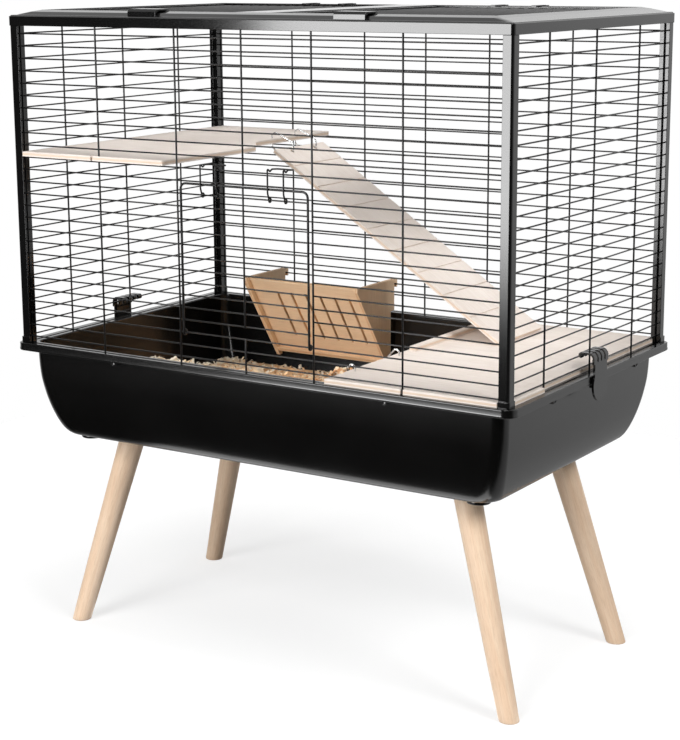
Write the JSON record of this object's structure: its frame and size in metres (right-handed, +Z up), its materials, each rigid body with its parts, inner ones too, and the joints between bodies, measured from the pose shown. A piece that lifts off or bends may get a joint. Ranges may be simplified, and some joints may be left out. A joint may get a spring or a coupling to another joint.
{
  "type": "small animal cage",
  "caption": "Floor-standing wire cage on a deep plastic tray with splayed wooden legs, hinged front and roof doors, wooden shelf, ramp, platform and hay rack.",
  "frame": {"origin": "on the floor under the centre of the cage", "axes": "+X to the right along the long front, +Y to the back, +Z up"},
  "size_m": [0.7818, 0.475, 0.8776],
  "materials": {
    "tray_plastic": "glossy black moulded plastic",
    "frame_plastic": "satin black moulded plastic",
    "black_wire": "black powder coat",
    "leg_wood": "clear-lacquered beech",
    "board_wood": "bare pale plywood",
    "rack_wood": "bare warm plywood",
    "steel": "zinc-plated",
    "shavings": "loose wood shavings"
  },
  "bodies": {
    "cage": {"tray": "tray_plastic", "leg_front_left": "leg_wood", "leg_front_right": "leg_wood", "leg_back_left": "leg_wood", "leg_back_right": "leg_wood", "leg_bolts": "steel", "leg_washers": "steel", "leg_nuts": "steel", "post_front_left": "frame_plastic", "post_front_right": "frame_plastic", "post_back_left": "frame_plastic", "post_back_right": "frame_plastic", "back_grille": "black_wire", "left_grille": "black_wire", "right_grille": "black_wire", "front_grille_left": "black_wire", "front_grille_right": "black_wire", "front_grille_top": "black_wire", "front_grille_bottom": "black_wire", "roof_frame": "frame_plastic", "roof_hinge_pins": "steel", "upper_shelf": "board_wood", "ramp_rings": "steel", "lower_platform": "board_wood", "platform_batten": "board_wood", "lower_ramp": "board_wood", "lower_ramp_rings": "steel", "rack_front": "rack_wood", "rack_side_left": "rack_wood", "rack_side_right": "rack_wood", "rack_floor": "rack_wood", "bedding": "shavings"},
    "door": {"front_door": "black_wire"},
    "latch_left": {"door_latch_left": "black_wire"},
    "latch_right": {"door_latch_right": "black_wire"},
    "lid_left": {"roof_door_left": "frame_plastic", "roof_grid_left": "black_wire"},
    "lid_right": {"roof_door_right": "frame_plastic", "roof_grid_right": "black_wire"},
    "clip_left": {"side_clip_left": "frame_plastic"},
    "clip_right": {"side_clip_right": "frame_plastic"},
    "ramp": {"ramp": "board_wood"}
  },
  "joints": [
    {"name": "front_door_hinge", "type": "hinge", "parent": "cage", "child": "door", "pos_m": [0, -0.226, 0.464], "axis": [1, 0, 0], "range_deg": [0, 150]},
    {"name": "latch_left_hinge", "type": "hinge", "parent": "door", "child": "latch_left", "pos_m": [-0.052, -0.2267, 0.6455], "axis": [1, 0, 0], "range_deg": [0, 60]},
    {"name": "latch_right_hinge", "type": "hinge", "parent": "door", "child": "latch_right", "pos_m": [0.052, -0.2267, 0.6455], "axis": [1, 0, 0], "range_deg": [0, 60]},
    {"name": "roof_door_left_hinge", "type": "hinge", "parent": "cage", "child": "lid_left", "pos_m": [-0.157, 0.22235, 0.8728], "axis": [-1, 0, 0], "range_deg": [0, 105]},
    {"name": "roof_door_right_hinge", "type": "hinge", "parent": "cage", "child": "lid_right", "pos_m": [0.157, 0.22235, 0.8728], "axis": [-1, 0, 0], "range_deg": [0, 105]},
    {"name": "side_clip_left_hinge", "type": "hinge", "parent": "cage", "child": "clip_left", "pos_m": [-0.3725, 0, 0.4475], "axis": [0, 1, 0], "range_deg": [0, 60]},
    {"name": "side_clip_right_hinge", "type": "hinge", "parent": "cage", "child": "clip_right", "pos_m": [0.3725, 0, 0.4475], "axis": [0, -1, 0], "range_deg": [0, 60]},
    {"name": "ramp_hinge", "type": "hinge", "parent": "cage", "child": "ramp", "pos_m": [-0.14217, 0.1195, 0.66717], "axis": [0, -1, 0], "range_deg": [0, 30]}
  ]
}
